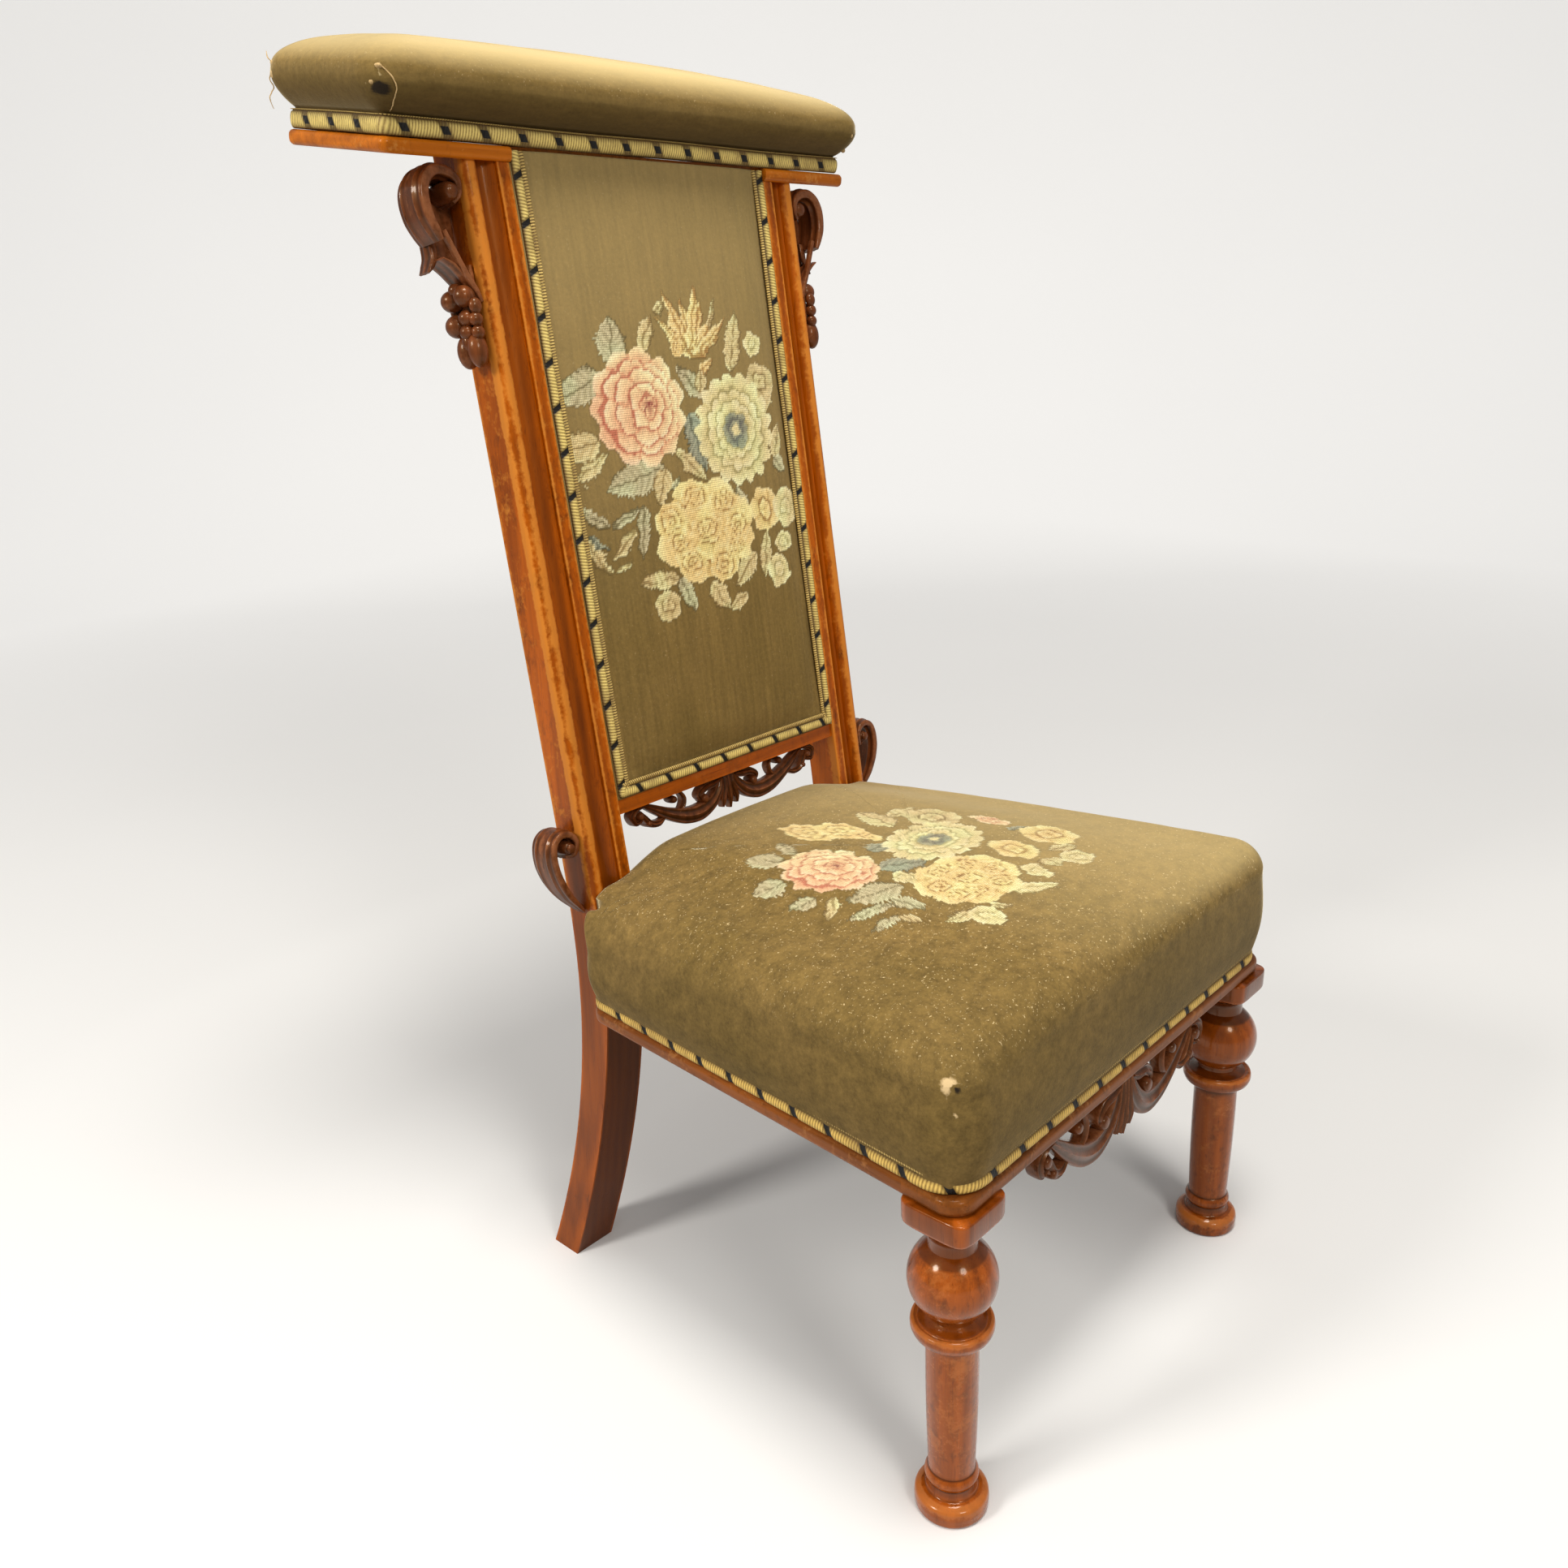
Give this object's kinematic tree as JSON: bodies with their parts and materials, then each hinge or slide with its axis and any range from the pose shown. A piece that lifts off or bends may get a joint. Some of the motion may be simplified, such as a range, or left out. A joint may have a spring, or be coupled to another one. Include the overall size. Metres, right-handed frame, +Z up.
{
  "type": "prayer chair",
  "caption": "Low prayer chair to kneel or sit on: domed padded seat, tall narrow raked back with a padded panel, and a wide sloping padded elbow rest on top.",
  "frame": {"origin": "centre of the whole chair's box in X and Y, on the floor in Z", "axes": "+Z up; the seat faces -Y and the back rises at +Y; +X is the right-hand side as seen by someone looking at the seat's front"},
  "size_m": [0.4934, 0.592, 0.9909],
  "materials": {
    "polished_walnut": "french polished, worn on the edges",
    "carved_walnut": "carved and polished, dark in the hollows",
    "frame_beech": "sawn, unfinished",
    "plush_needlework": "cut plush with needlework flowers",
    "gold_gimp": "braid with dark bars",
    "hessian": "coarse plain weave",
    "jute_webbing": "close plain weave",
    "black_lining": "thin plain cotton",
    "spring_steel": "coppered wire",
    "screw_steel": "plain",
    "tack_steel": "blued"
  },
  "bodies": {
    "root": {"rear_post_right": "polished_walnut", "rear_post_left": "polished_walnut", "crest_board": "polished_walnut", "crest_screws": "screw_steel", "elbow_pad": "plush_needlework", "crest_gimp": "gold_gimp", "back_top_rail": "frame_beech", "back_bottom_rail": "polished_walnut", "tacking_batten_right": "frame_beech", "tacking_batten_left": "frame_beech", "back_webbing": "jute_webbing", "back_hessian": "hessian", "back_panel_pad": "plush_needlework", "back_panel_gimp": "gold_gimp", "outside_back_cloth": "black_lining", "crest_bracket_right": "carved_walnut", "crest_bracket_left": "carved_walnut", "seat_scroll_right": "carved_walnut", "seat_scroll_left": "carved_walnut", "back_apron": "carved_walnut", "front_apron": "carved_walnut", "front_leg_right": "polished_walnut", "front_leg_left": "polished_walnut", "seat_rail_front": "frame_beech", "seat_rail_right": "frame_beech", "seat_rail_left": "frame_beech", "seat_rail_back": "frame_beech", "seat_moulding_front": "polished_walnut", "seat_moulding_right": "polished_walnut", "seat_moulding_left": "polished_walnut", "corner_braces": "frame_beech", "brace_screws": "screw_steel", "seat_webbing": "jute_webbing", "seat_springs": "spring_steel", "spring_hessian": "hessian", "seat_pad": "plush_needlework", "seat_gimp": "gold_gimp", "seat_dust_cloth": "black_lining", "dust_cloth_tacks": "tack_steel"}
  },
  "joints": []
}
